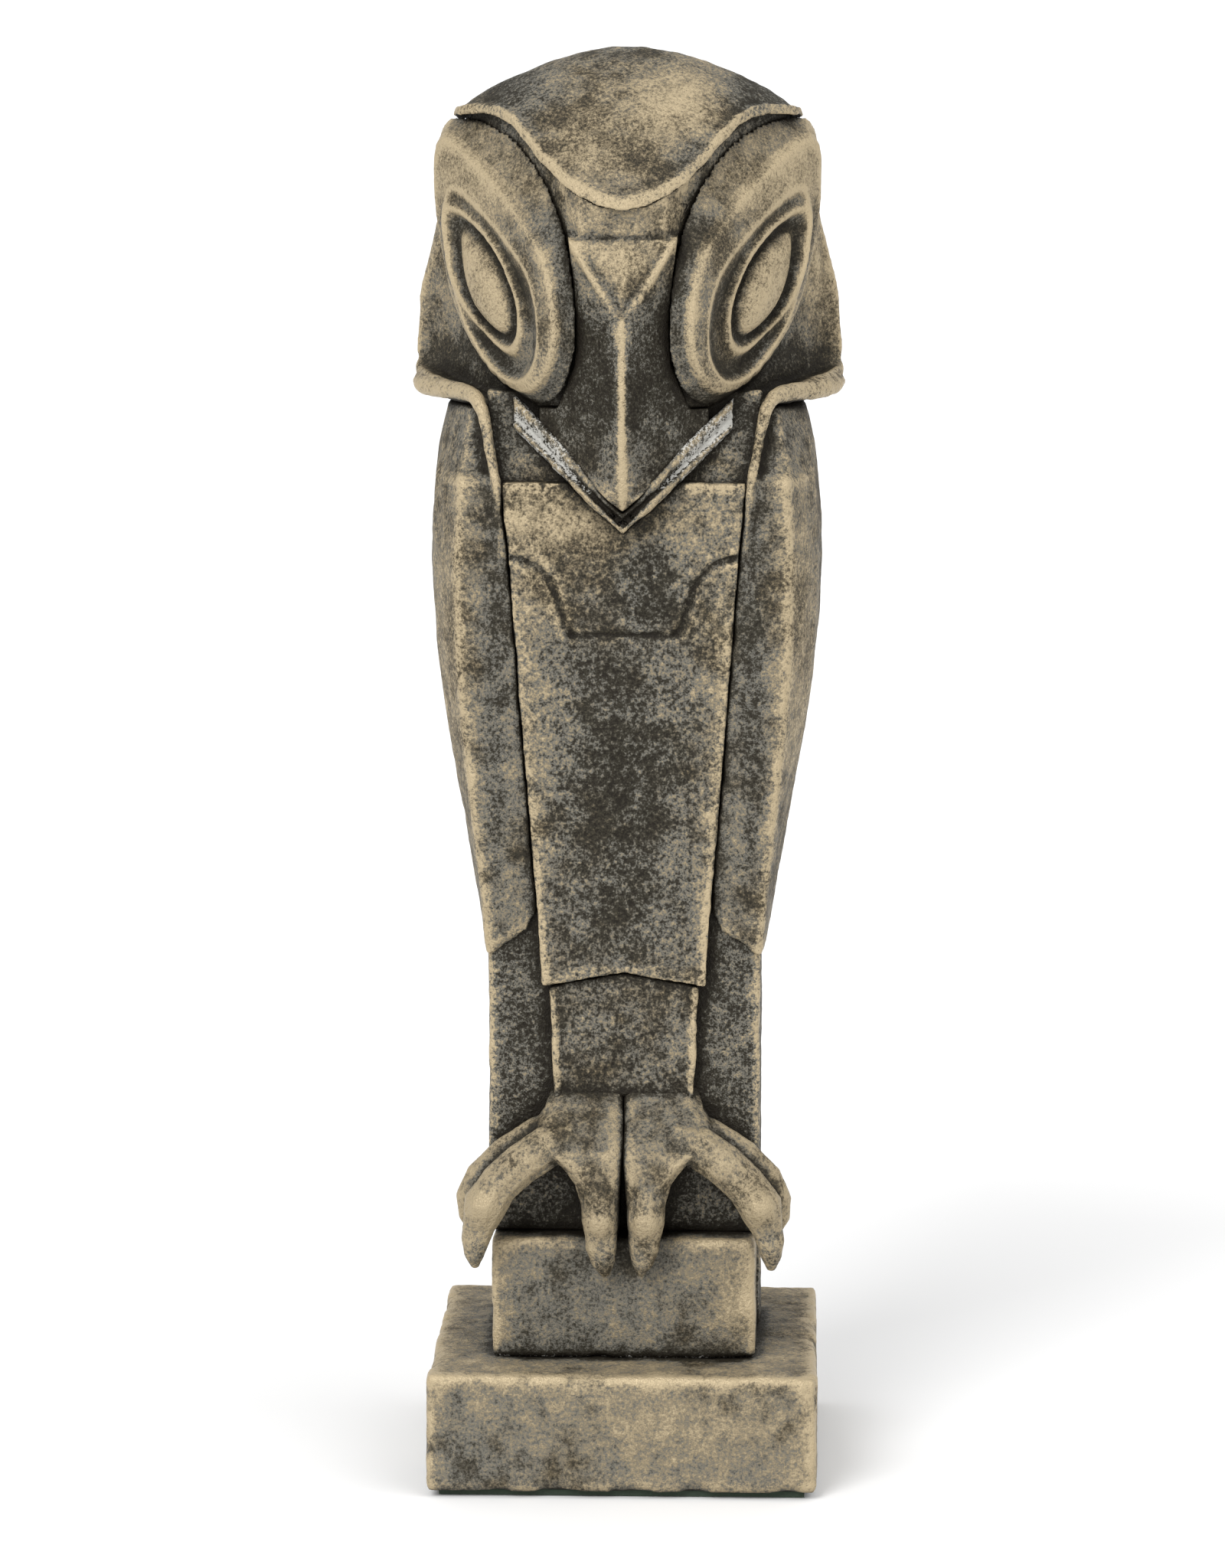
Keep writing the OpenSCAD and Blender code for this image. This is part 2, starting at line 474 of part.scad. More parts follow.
plinth();
felt_pad();
perch_block();
torso();
wing_left();
wing_right();
breast_panel();
shin_panel();
foot_left();
foot_right();
throat_ruff();
bill_wedge();
hood();
crown_cap();
eye_disc_left();
eye_disc_right();
eyelid_left();
eyelid_right();
eyeball_left();
eyeball_right();
tie_rod();
tie_nut();
tie_washer();
anchor_nut();
block_dowel_left();
block_dowel_right();
wing_dowel_upper();
wing_dowel_lower();
foot_pin_left();
foot_pin_right();
disc_pin_left();
disc_pin_right();
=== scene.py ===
"""Looks of the standing owl: worn cast surfaces with a gold rub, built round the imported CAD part."""
import json
import math

import bmesh
import bpy
import numpy as np
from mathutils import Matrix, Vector, kdtree


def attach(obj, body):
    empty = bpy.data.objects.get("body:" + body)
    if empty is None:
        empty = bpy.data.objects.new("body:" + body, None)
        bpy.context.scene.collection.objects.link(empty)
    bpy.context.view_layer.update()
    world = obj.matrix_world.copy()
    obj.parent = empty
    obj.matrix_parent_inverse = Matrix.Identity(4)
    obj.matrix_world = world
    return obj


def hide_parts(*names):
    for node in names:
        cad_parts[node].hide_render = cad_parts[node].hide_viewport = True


MM = 0.001                      # every length below is in millimetres until it meets Blender
SIDES = ((-1, "left"), (1, "right"))
FINE_REACH = 0.9                # details up to this size count as grain
EDGE_REACH = 2.4                # and up to this size as edges and recesses
STEP_IN, STEP_OUT = 0.55, -0.565

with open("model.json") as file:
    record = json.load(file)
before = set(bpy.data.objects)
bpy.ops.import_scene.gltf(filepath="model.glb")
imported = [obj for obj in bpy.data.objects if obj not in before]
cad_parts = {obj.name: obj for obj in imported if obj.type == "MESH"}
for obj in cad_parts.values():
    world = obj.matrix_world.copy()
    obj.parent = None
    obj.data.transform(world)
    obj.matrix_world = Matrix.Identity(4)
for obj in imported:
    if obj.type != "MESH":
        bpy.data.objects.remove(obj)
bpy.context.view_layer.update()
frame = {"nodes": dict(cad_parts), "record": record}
scene = bpy.context.scene


# ---------------------------------------------------------------- mesh tools
def mesh_object(name, verts, faces):
    """A new object from points in millimetres."""
    mesh = bpy.data.meshes.new(name)
    mesh.from_pydata((np.asarray(verts, float) * MM).tolist(), [], faces)
    mesh.validate()
    mesh.update()
    obj = bpy.data.objects.new(name, mesh)
    scene.collection.objects.link(obj)
    return obj


def cad_copy(name, *nodes):
    """A new object that joins the meshes of these CAD nodes."""
    verts, faces = [], []
    for node in nodes:
        mesh = frame["nodes"][node].data
        start = len(verts)
        verts += [tuple(v.co / MM) for v in mesh.vertices]
        faces += [[start + i for i in f.vertices] for f in mesh.polygons]
    return mesh_object(name, verts, faces)


def cad_points(node):
    """The places of a CAD node's points, in millimetres."""
    return np.array([v.co / MM for v in frame["nodes"][node].data.vertices])


def skin(rings, n):
    """Faces over a row of rings of n points each, with both ends closed."""
    faces = [(j * n + i, j * n + (i + 1) % n, (j + 1) * n + (i + 1) % n, (j + 1) * n + i)
             for j in range(rings - 1) for i in range(n)]
    return faces + [tuple(range(n))[::-1], tuple(range((rings - 1) * n, rings * n))]


def copy_of(obj):
    """A second object with the same mesh."""
    twin = bpy.data.objects.new("twin", obj.data.copy())
    scene.collection.objects.link(twin)
    return twin


def join(target, *others):
    """Moves the meshes of others into target."""
    bm = bmesh.new()
    for obj in (target,) + others:
        bm.from_mesh(obj.data)
    bm.to_mesh(target.data)
    bm.free()
    for obj in others:
        bpy.data.objects.remove(obj)
    return target


def remesh(obj, voxel):
    """Rebuilds obj as one even skin of quads, voxel millimetres across."""
    mod = obj.modifiers.new("skin", "REMESH")
    mod.mode = "VOXEL"
    mod.voxel_size = voxel * MM
    mod.use_smooth_shade = True
    graph = bpy.context.evaluated_depsgraph_get()
    mesh = bpy.data.meshes.new_from_object(obj.evaluated_get(graph))
    obj.modifiers.clear()
    obj.data = mesh
    return obj


def points(obj):
    """The places of obj's points, in millimetres."""
    co = np.empty(len(obj.data.vertices) * 3)
    obj.data.vertices.foreach_get("co", co)
    return co.reshape(-1, 3) / MM


def set_points(obj, co):
    """Moves obj's points to the places co."""
    obj.data.vertices.foreach_set("co", (co * MM).ravel())
    obj.data.update()


def normals(obj):
    """The direction of the surface at each of obj's points."""
    n = np.empty(len(obj.data.vertices) * 3)
    obj.data.vertices.foreach_get("normal", n)
    return n.reshape(-1, 3)


def neighbours(obj):
    """Edges of obj and how many of them meet in each point."""
    e = np.empty(len(obj.data.edges) * 2, np.int64)
    obj.data.edges.foreach_get("vertices", e)
    e = e.reshape(-1, 2)
    count = np.bincount(e.ravel(), minlength=len(obj.data.vertices))
    return e, np.maximum(count, 1)


def blur(values, edges, count, times, strength=0.6):
    """Values at the points, evened out along the edges."""
    v = values.copy()
    n = len(v)
    for _ in range(times):
        mean = np.empty_like(v)
        for k in range(v.shape[1]):
            mean[:, k] = (np.bincount(edges[:, 0], v[edges[:, 1], k], n)
                          + np.bincount(edges[:, 1], v[edges[:, 0], k], n)) / count
        v += strength * (mean - v)
    return v


def relax(obj, times):
    """Smooths obj without shrinking it: each step in is followed by a step back out."""
    edges, count = neighbours(obj)
    co = points(obj)
    for _ in range(times):
        co = blur(co, edges, count, 1, STEP_IN)
        co = blur(co, edges, count, 1, STEP_OUT)
    set_points(obj, co)


def lattice(i, j, k, seed):
    """A fixed pseudo-random number from 0 to 1 for each lattice point."""
    h = (i * 374761393 + j * 668265263 + k * 2147483647 + seed * 144665) & 0xFFFFFFFF
    h = ((h ^ (h >> 13)) * 1274126177) & 0xFFFFFFFF
    return ((h ^ (h >> 16)) & 0xFFFF) / 65535.0


def value_noise(co, size, seed=0):
    """Smooth noise from -1 to 1 with lumps about size millimetres across."""
    p = co / size + 1000.0
    base = np.floor(p).astype(np.int64)
    f = p - base
    f = f * f * (3 - 2 * f)
    out = np.zeros(len(co))
    for dx in (0, 1):
        for dy in (0, 1):
            for dz in (0, 1):
                w = (np.abs(1 - dx - f[:, 0]) * np.abs(1 - dy - f[:, 1]) * np.abs(1 - dz - f[:, 2]))
                out += w * lattice(base[:, 0] + dx, base[:, 1] + dy, base[:, 2] + dz, seed)
    return out * 2 - 1


def push(obj, amount):
    """Moves each point along its normal by amount millimetres."""
    set_points(obj, points(obj) + normals(obj) * np.reshape(amount, (-1, 1)))


def store(obj, name, values):
    """Keeps one number per point under name, for the materials to read."""
    attribute = obj.data.attributes.new(name, "FLOAT", "POINT")
    attribute.data.foreach_set("value", np.asarray(values, np.float32))


def along_normal(obj, difference):
    """How far each difference points out of the surface."""
    return np.einsum("ij,ij->i", difference, normals(obj))


def spread(obj, edges, reach):
    """How many rounds of blur() even out details up to reach millimetres."""
    co = points(obj)
    spacing = np.mean(np.linalg.norm(co[edges[:, 0]] - co[edges[:, 1]], axis=1))
    return max(3, int((reach / spacing) ** 2))


def weather(obj, seed, lumps=0.16, grain=0.05, wear=0.0):
    """Cast texture: broad lumps, fine grain and chipped edges; then notes its small ridges."""
    edges, count = neighbours(obj)
    co = points(obj)
    sharp = along_normal(obj, co - blur(co, edges, count, 6))
    chips = np.clip(value_noise(co, 5.0, seed + 3) * 1.6, 0, 1) * np.clip(sharp * 6, 0, 1)
    move = lumps * value_noise(co, 7.0, seed) + 0.5 * lumps * value_noise(co, 2.6, seed + 1)
    move += grain * value_noise(co, 0.95, seed + 2) - wear * chips
    push(obj, move)
    co = points(obj)
    fine = along_normal(obj, co - blur(co, edges, count, spread(obj, edges, FINE_REACH)))
    store(obj, "fine", np.clip(fine / 0.2, -1, 1))


def note_edges(pieces):
    """Remeshes the whole figure as one skin and notes on each piece where that is an edge or a
    recess, so that the joints between pieces don't count as edges."""
    whole = mesh_object("whole", [], [])
    join(whole, *[copy_of(piece) for piece in pieces])
    remesh(whole, 0.75)
    relax(whole, 2)
    edges, count = neighbours(whole)
    co = points(whole)
    near = blur(co, edges, count, spread(whole, edges, FINE_REACH))
    far = blur(near, edges, count, spread(whole, edges, EDGE_REACH))
    relief = np.clip(along_normal(whole, near - far) / 0.42, -1, 1)
    relief += np.clip(along_normal(whole, co - near) / 0.3, -1, 1)
    relief = np.clip(blur(relief.reshape(-1, 1), edges, count, 2).ravel(), -1, 1)
    tree = kdtree.KDTree(len(co))
    for i, place in enumerate(co):
        tree.insert(place, i)
    tree.balance()
    for piece in pieces:
        near_by = [tree.find(place)[1] for place in points(piece)]
        edge = relief[near_by]
        store(piece, "edge", edge)
        fine = np.empty(len(edge), np.float32)
        piece.data.attributes["fine"].data.foreach_get("value", fine)
        fine = np.minimum(fine, np.clip(edge, 0, 1) * 1.5 + 0.15)
        piece.data.attributes["fine"].data.foreach_set("value", fine)
    bpy.data.objects.remove(whole)


def shade_smooth(obj):
    """Shades obj's faces as one rounded surface."""
    obj.data.polygons.foreach_set("use_smooth", [True] * len(obj.data.polygons))


def smooth_path(path, steps=8):
    """Catmull-Rom curve through the rows of path."""
    p = np.asarray(path, float)
    p = np.vstack([2 * p[0] - p[1], p, 2 * p[-1] - p[-2]])
    rows = []
    for k in range(1, len(p) - 2):
        for t in np.linspace(0, 1, steps, endpoint=False):
            a, b, c, d = p[k - 1:k + 3]
            rows.append(0.5 * (2 * b + (c - a) * t + (2 * a - 5 * b + 4 * c - d) * t ** 2
                               + (3 * b - a - 3 * c + d) * t ** 3))
    return np.array(rows + [p[-2]])


def tube(name, path, sides=14):
    """Round bar through rows of x, y, z, radius."""
    rows = smooth_path(path)
    co, radius = rows[:, :3], rows[:, 3]
    ahead = np.gradient(co, axis=0)
    ahead /= np.linalg.norm(ahead, axis=1)[:, None]
    turn = np.linspace(0, 2 * math.pi, sides, endpoint=False)
    verts = []
    for place, way, r in zip(co, ahead, radius):
        one = np.cross(way, [0.3, 0.9, 0.2])
        one /= np.linalg.norm(one)
        two = np.cross(way, one)
        verts += [place + r * (math.cos(a) * one + math.sin(a) * two) for a in turn]
    return mesh_object(name, verts, skin(len(co), sides))


def reach_of(across, up, mid, angles):
    """Largest distance of flat points from mid in each direction."""
    turn, r = np.arctan2(up - mid[1], across - mid[0]), np.hypot(across - mid[0], up - mid[1])
    order = np.argsort(turn)
    turn, r = turn[order], r[order]
    keep = [0]
    for i in range(1, len(turn)):
        if turn[i] - turn[keep[-1]] > 0.02:
            keep.append(i)
        elif r[i] > r[keep[-1]]:
            keep[-1] = i
    return np.interp(angles, turn[keep], r[keep], period=2 * math.pi)


def bell(value, middle, width):
    """1 where value is at middle, falling off over width."""
    return np.exp(-((value - middle) / width) ** 2)


def line_distance(x, z, line):
    """Distance of flat points from a line of straight stretches."""
    best = np.full(len(x), 1e9)
    for (ax, az), (bx, bz) in zip(line, line[1:]):
        dx, dz = bx - ax, bz - az
        t = np.clip(((x - ax) * dx + (z - az) * dz) / (dx * dx + dz * dz), 0, 1)
        best = np.minimum(best, np.hypot(x - ax - t * dx, z - az - t * dz))
    return best


# ---------------------------------------------------------------- node tools
class Graph:
    """Builds a material's nodes in plain calls."""

    def __init__(self, name):
        self.material = bpy.data.materials.new(name)
        self.material.use_nodes = True
        self.tree = self.material.node_tree
        self.shader = self.tree.nodes["Principled BSDF"]
        self.coords = self.node("ShaderNodeTexCoord").outputs["Object"]

    def node(self, kind, **settings):
        """A new node with these settings."""
        node = self.tree.nodes.new(kind)
        for key, value in settings.items():
            setattr(node, key, value)
        return node

    def put(self, value, socket):
        """Links an output to the socket, or sets a constant on it."""
        if isinstance(value, bpy.types.NodeSocket):
            self.tree.links.new(value, socket)
        else:
            socket.default_value = value

    def noise(self, size, detail=3.0, rough=0.6, stretch=None):
        """Noise from about 0.2 to 0.8 with lumps about size millimetres across."""
        source = self.coords
        if stretch:
            mapping = self.node("ShaderNodeMapping")
            mapping.inputs["Scale"].default_value = stretch
            self.put(source, mapping.inputs["Vector"])
            source = mapping.outputs[0]
        noise = self.node("ShaderNodeTexNoise")
        noise.inputs["Scale"].default_value = 1 / (size * MM)
        noise.inputs["Detail"].default_value = detail
        noise.inputs["Roughness"].default_value = rough
        self.put(source, noise.inputs["Vector"])
        return noise.outputs["Fac"]

    def math(self, kind, a, b=0.0):
        """One arithmetic step on a and b."""
        node = self.node("ShaderNodeMath", operation=kind)
        self.put(a, node.inputs[0])
        self.put(b, node.inputs[1])
        return node.outputs[0]

    def total(self, *terms):
        """Sum of weight * value pairs; a bare number is added as it is."""
        out = None
        for term in terms:
            part = term if isinstance(term, float) else self.math("MULTIPLY", term[1], term[0])
            out = part if out is None else self.math("ADD", out, part)
        return out

    def ramp(self, value, low, high):
        """0 below low, 1 above high, with a soft rise between them."""
        node = self.node("ShaderNodeMapRange", interpolation_type="SMOOTHSTEP")
        self.put(value, node.inputs["Value"])
        node.inputs["From Min"].default_value = low
        node.inputs["From Max"].default_value = high
        return node.outputs["Result"]

    def mix(self, a, b, fac):
        """Colour a where fac is 0, colour b where it is 1."""
        node = self.node("ShaderNodeMix", data_type="RGBA")
        self.put(fac, node.inputs["Factor"])
        for value, socket in ((a, node.inputs[6]), (b, node.inputs[7])):
            self.put(value if isinstance(value, bpy.types.NodeSocket) else (*value, 1.0), socket)
        return node.outputs[2]

    def attribute(self, name):
        """The numbers that store() kept under name."""
        return self.node("ShaderNodeAttribute", attribute_name=name).outputs["Fac"]

    def recess(self, distance):
        """1 in the open, towards 0 in gaps narrower than distance millimetres."""
        node = self.node("ShaderNodeAmbientOcclusion", samples=6)
        node.inputs["Distance"].default_value = distance * MM
        return node.outputs["AO"]

    def bump(self, height, depth, strength):
        """Surface direction from a height, depth millimetres deep."""
        node = self.node("ShaderNodeBump")
        node.inputs["Strength"].default_value = strength
        node.inputs["Distance"].default_value = depth * MM
        self.put(height, node.inputs["Height"])
        return node.outputs[0]


# Colours from the dark coat in the recesses to the gold rub and the pale residue; UMBER is also
# painted shade in gaps, and GOLD is paled to stand in for a painted sheen
UMBER = (0.015, 0.012, 0.008)
SLATE = (0.032, 0.028, 0.019)
ASH = (0.150, 0.144, 0.124)
BROWN = (0.100, 0.080, 0.050)
OCHRE = (0.245, 0.198, 0.124)
GOLD = (0.510, 0.412, 0.262)
CHALK = (0.60, 0.59, 0.55)


def patina(name, gold=0.0, edge=1.0, ash=0.0, chalk=0.0, grain=0.8, speckle=1.0, brushed=0.0,
           glow=0.9):
    """Dark cast body with a gold rub on its grain and edges. gold, ash and chalk shift how much of
    each shows, edge is how strongly the gold follows edges, grain is the size of the specks and
    speckle their strength, brushed adds slanting strokes, and glow is how bright the gold gets."""
    g = Graph(name)
    fine, relief = g.attribute("fine"), g.attribute("edge")
    # tone holds each piece's rub and dark coat, and at some places painted highlights and painted
    # shade
    marked, tone = g.attribute("chalk"), g.attribute("tone")
    wide, gap = g.recess(9.0), g.recess(2.5)
    speck = g.noise(grain, 2.0, 0.55)
    dot = g.noise(grain * 0.42, 1.0, 0.5)
    patch = g.noise(4.5, 3.0, 0.6)
    cloud = g.noise(17.0, 3.0, 0.55)
    stroke = g.noise(1.6, 3.0, 0.6, stretch=(0.35, 1.0, 1.0))

    # the last line brings the mean of cover on an open face back to about gold
    cover = g.total((4.4 * speckle, speck), (2.6 * speckle, dot), (2.3, patch), (1.8, cloud),
                    (0.5, fine), (0.8 * edge, relief), (1.1, wide), (0.5, gap),
                    (brushed, stroke), (1.0, tone),
                    gold - 3.58 - 3.5 * speckle - 0.5 * brushed)
    middle = g.mix(BROWN, ASH, g.ramp(g.total((3.0, cloud), (2.0, patch), (-0.35, tone),
                                              ash - 2.5), -0.5, 0.5))
    colour = g.mix(UMBER, SLATE, g.ramp(cover, -1.9, -0.9))
    colour = g.mix(colour, middle, g.ramp(cover, -1.0, 0.1))
    colour = g.mix(colour, OCHRE, g.math("MULTIPLY", g.ramp(cover, -0.25, 0.75), 0.92))
    shine = g.ramp(g.total((1.0, cover), (0.6 * edge, relief)), 0.35, 1.9)
    # Gold rub on the grain and edges; its pale colour is partly a painted sheen
    colour = g.mix(colour, GOLD, g.math("MULTIPLY", shine, glow))
    # Painted shade: the colour sinks towards umber in gaps and recesses found by ambient occlusion
    shade = g.total((0.55, g.ramp(gap, 0.2, 0.85)), (0.45, g.ramp(wide, 0.15, 0.8)))
    colour = g.mix(UMBER, colour, g.total((0.8, shade), 0.2))
    white = g.ramp(g.total((3.0, speck), (2.0, dot), (1.5, patch), (-0.5, fine), (2.2, marked),
                           chalk - 4.9), -0.1, 0.5)
    colour = g.mix(colour, CHALK, g.math("MULTIPLY", white, 0.85))

    s = g.shader.inputs
    g.put(colour, s["Base Color"])
    g.put(g.total((-0.18, shine), (0.2, speck), 0.5), s["Roughness"])
    g.put(g.math("MULTIPLY", shine, 0.3), s["Metallic"])
    s["Specular IOR Level"].default_value = 0.15
    height = g.total((0.65, speck), (0.4, dot), (0.3, patch))
    g.put(g.bump(height, 0.6, 0.9), s["Normal"])
    return g.material


LOOKS = {
    "cast_plinth": patina("cast_plinth", gold=0.05, ash=0.35, speckle=0.6),
    "cast_body": patina("cast_body", gold=-0.55, ash=0.8, brushed=1.4),
    "cast_wing": patina("cast_wing", gold=-0.05, ash=0.1, speckle=0.8),
    "cast_panel": patina("cast_panel", gold=-0.25, chalk=0.2, grain=0.95),
    "cast_gilt": patina("cast_gilt", gold=0.0, edge=1.1, chalk=-0.5, speckle=0.7, glow=0.6),
    "cast_ruff": patina("cast_ruff", gold=-0.2, ash=0.6, speckle=0.8),
    "cast_head": patina("cast_head", gold=0.1, chalk=-0.4, grain=0.7, speckle=0.85),
    "cast_disc": patina("cast_disc", gold=0.3, chalk=-0.6, grain=0.6, speckle=0.75),
}
CAST = []                       # the finished cast pieces


def fit_out(obj, look, *nodes):
    """Puts a finished piece on the body in place of its CAD nodes."""
    obj.data.materials.clear()
    obj.data.materials.append(LOOKS[look])
    shade_smooth(obj)
    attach(obj, "root")
    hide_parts(*nodes)
    CAST.append(obj)
    return obj


def cast(node, look, voxel, smooth, seed, lumps=0.16, grain=0.05, wear=0.3, extra=(), shape=None):
    """One CAD node as a worn cast piece. extra are objects fused to it, shape changes its points."""
    obj = cad_copy(node + "_cast", node)
    if extra:
        join(obj, *extra)
    remesh(obj, voxel)
    relax(obj, smooth)
    if shape:
        shape(obj)
    weather(obj, seed, lumps, grain, wear)
    return fit_out(obj, look, node)


BIB_LINE = [(25, 196.2), (21, 195.6), (17.6, 193.8), (15, 190.8), (13.4, 186.4), (12, 181.4),
            (10.6, 180.2)]
BIB_FOOT = [(-11.5, 179.6), (0, 180), (11.5, 179.6)]


def carve_bib(obj):
    """Bib outline pressed into the breast panel, with a soft ridge beside it."""
    co, n = points(obj), normals(obj)
    front = np.clip(-n[:, 1] * 2 - 1, 0, 1)
    side = line_distance(np.abs(co[:, 0]), co[:, 2], BIB_LINE)
    foot = line_distance(co[:, 0], co[:, 2], BIB_FOOT)
    move = -0.55 * np.exp(-(side / 0.55) ** 2) + 0.3 * np.exp(-((side - 1.5) / 0.8) ** 2)
    move += -0.5 * np.exp(-(foot / 0.5) ** 2) + 0.2 * np.exp(-((foot - 1.4) / 0.8) ** 2)
    push(obj, move * front)


CROWN_MIDDLE = (0, 2)           # middle of the crown's outline, x and y


def raise_lip(obj):
    """Thin raised lip round the crown's edge, with a hollow inside it."""
    cap = cad_points("crown_cap")
    co, n = points(obj), normals(obj)
    dx, dy = co[:, 0] - CROWN_MIDDLE[0], co[:, 1] - CROWN_MIDDLE[1]
    part = np.hypot(dx, dy) / reach_of(cap[:, 0], cap[:, 1], CROWN_MIDDLE, np.arctan2(dy, dx))
    move = 0.4 * bell(part, 0.972, 0.014) - 0.25 * bell(part, 0.925, 0.03)
    push(obj, move * np.clip(n[:, 2] * 3, 0, 1))


BROW_CREASE = 261.8             # height of the crease across the brow
BILL_RIDGE_TOP = 246            # the bill's ridge ends here, at the foot of the triangle
# Sides of the triangle on the bill, x and z
BILL_EDGE = [(10.9, 261), (1.2, 246.5)]
# Edge of the crown's visor over the brow: x, y, z, and the height of the brow's band below it
VISOR = [(0, -36.2, 268.2, 6.5), (4.8, -35.8, 268.7, 7), (8.6, -34.4, 270.4, 8.8),
         (11.2, -31.2, 272.2, 12), (14, -26.8, 274.6, 14), (17, -22.6, 277, 14),
         (20, -18.4, 280, 14)]


def crease_bill(obj):
    """Crease across the brow, a sharp edge down both sides of the triangle and the bill's ridge.
    What would stand in front of the visor is pulled back behind it."""
    co, n = points(obj), normals(obj)
    x, z = np.abs(co[:, 0]), co[:, 2]
    front = np.clip(-n[:, 1] * 2 - 0.4, 0, 1)
    edge = line_distance(x, z, BILL_EDGE)
    move = -0.45 * bell(z, BROW_CREASE, 0.4) + 0.35 * bell(edge, 0, 0.55) - 0.3 * bell(edge, 1.5, 0.6)
    move += 0.45 * bell(x, 0, 0.7) * (z < BILL_RIDGE_TOP)
    push(obj, move * front)
    co = points(obj)
    band = np.interp(np.abs(co[:, 0]), [row[0] for row in VISOR], [row[1] for row in VISOR])
    behind = (co[:, 2] > BROW_CREASE + 0.4) & (co[:, 1] < band)
    co[behind, 1] = band[behind]
    set_points(obj, co)


BAND_RISE = 2.0                 # how much wider the ruff's upper band gets towards its ends


def split_ruff(obj):
    """Groove along the middle of the ruff, which parts it into two bands, the upper one wider."""
    co, n = points(obj), normals(obj)
    x = np.abs(co[:, 0])
    slope, start = np.polyfit(x, co[:, 2], 1)
    off = (co[:, 2] - slope * x - start) / math.hypot(1, slope)
    push(obj, (0.25 - 0.9 * bell(off, 0.1, 0.45)) * np.clip(-n[:, 1] * 2 - 0.4, 0, 1))
    co = points(obj)
    upper, outward = np.clip((off - 0.2) / 0.6, 0, 1), np.clip((x - 2) / 12, 0, 1)
    co[:, 2] += BAND_RISE * upper * outward
    set_points(obj, co)


SHOULDER_RISE = 3.2             # gap between the torso's top and the eye discs
SHOULDER_TOP, SHOULDER_BACK = 223.5, -12


def raise_shoulder(obj):
    """Lifts the front of the shoulder plane up to the underside of the eye discs."""
    co = points(obj)
    top = np.clip((co[:, 2] - SHOULDER_TOP) / 2.5, 0, 1)
    front = np.clip((SHOULDER_BACK - co[:, 1]) / 3, 0, 1)
    co[:, 2] += SHOULDER_RISE * top * front
    set_points(obj, co)


WEB_RISE, WEB_FORWARD = 2.2, 1.6        # how far the web's top edge is moved to meet the shin
WEB_TOP, WEB_HALF = 78.5, 16.5
# Middle of each knuckle, and of the waist where its claw starts: x and z
KNUCKLES = (((4.8, 56.5), (4.5, 51.5)), ((29.2, 60.5), (30.4, 54.8)))


def knuckle_foot(obj):
    """Swollen knuckles, a waist where each claw starts, and a web that runs up into the shin."""
    co = points(obj)
    x, z = np.abs(co[:, 0]), co[:, 2]
    move = np.zeros(len(co))
    in_front = co[:, 1] < -18
    for (knuckle_x, knuckle_z), (waist_x, waist_z) in KNUCKLES:
        move += 0.9 * bell(np.hypot(x - knuckle_x, z - knuckle_z), 0, 3.2) * in_front
        move -= 0.7 * bell(np.hypot(x - waist_x, z - waist_z), 0, 2.4) * in_front
    push(obj, move)
    co = points(obj)
    lift = np.clip((co[:, 2] - WEB_TOP) / 2.8, 0, 1) ** 2 * (np.abs(co[:, 0]) < WEB_HALF)
    co[:, 2] += WEB_RISE * lift
    co[:, 1] += WEB_FORWARD * lift
    set_points(obj, co)


def mirrored(path, side):
    """Rows of x, y, z, radius for the side -1 or 1."""
    return [(side * x, y, z, r) for x, y, z, r in path]


# Rolled lip of the collar from the side of the head to its front corner, then the lappet that
# runs down over the shoulder to the mantle line: x, y, z, radius
COLLAR_ROLL = [(44.2, 10, 229.6, 1.6), (42.6, -1, 229.4, 2.0), (38.6, -9.5, 229.2, 2.1),
               (34.2, -16.5, 229.2, 1.9), (31, -21.5, 228.6, 1.7), (29.4, -24.2, 226.4, 1.5)]
LAPPET = [(30.4, -22.8, 228.2, 1.4), (29.2, -24.4, 226, 1.35), (28.2, -25.2, 222, 1.25),
          (27.2, -26.8, 216.5, 1.15), (26.2, -28.2, 211.4, 1.0), (25.6, -28.2, 205, 0.7),
          (25, -27.8, 196, 0.5)]


def brow():
    """Curved band that closes the face between the visor and the bill."""
    right = smooth_path(VISOR)
    line = np.vstack([right[:0:-1] * (-1, 1, 1, 1), right])
    verts = []
    for x, y, z, height in line:
        verts += [(x, y, z - 0.2), (x, y + 0.9, z - height),
                  (x, y + 6, z - height), (x, y + 6, z - 1)]
    return mesh_object("brow", verts, skin(len(line), 4))


# ---------------------------------------------------------------- pieces
DISC_TURN = math.radians(54)    # how far each disc is turned outward
DISC_CREASE = 0.755             # part of the disc's radius where its broad rim meets the dish
DISH_START = 0.38               # and where the dish starts to rise from its floor
DISH_FLOOR = -2.5               # the floor of the dish, below the rim
LID_RIDGE = 0.88                # part of the lid's radius where its ridge stands
BALL_EDGE = 0.68                # and where the eyeball ends
BALL_RISE = 4.1


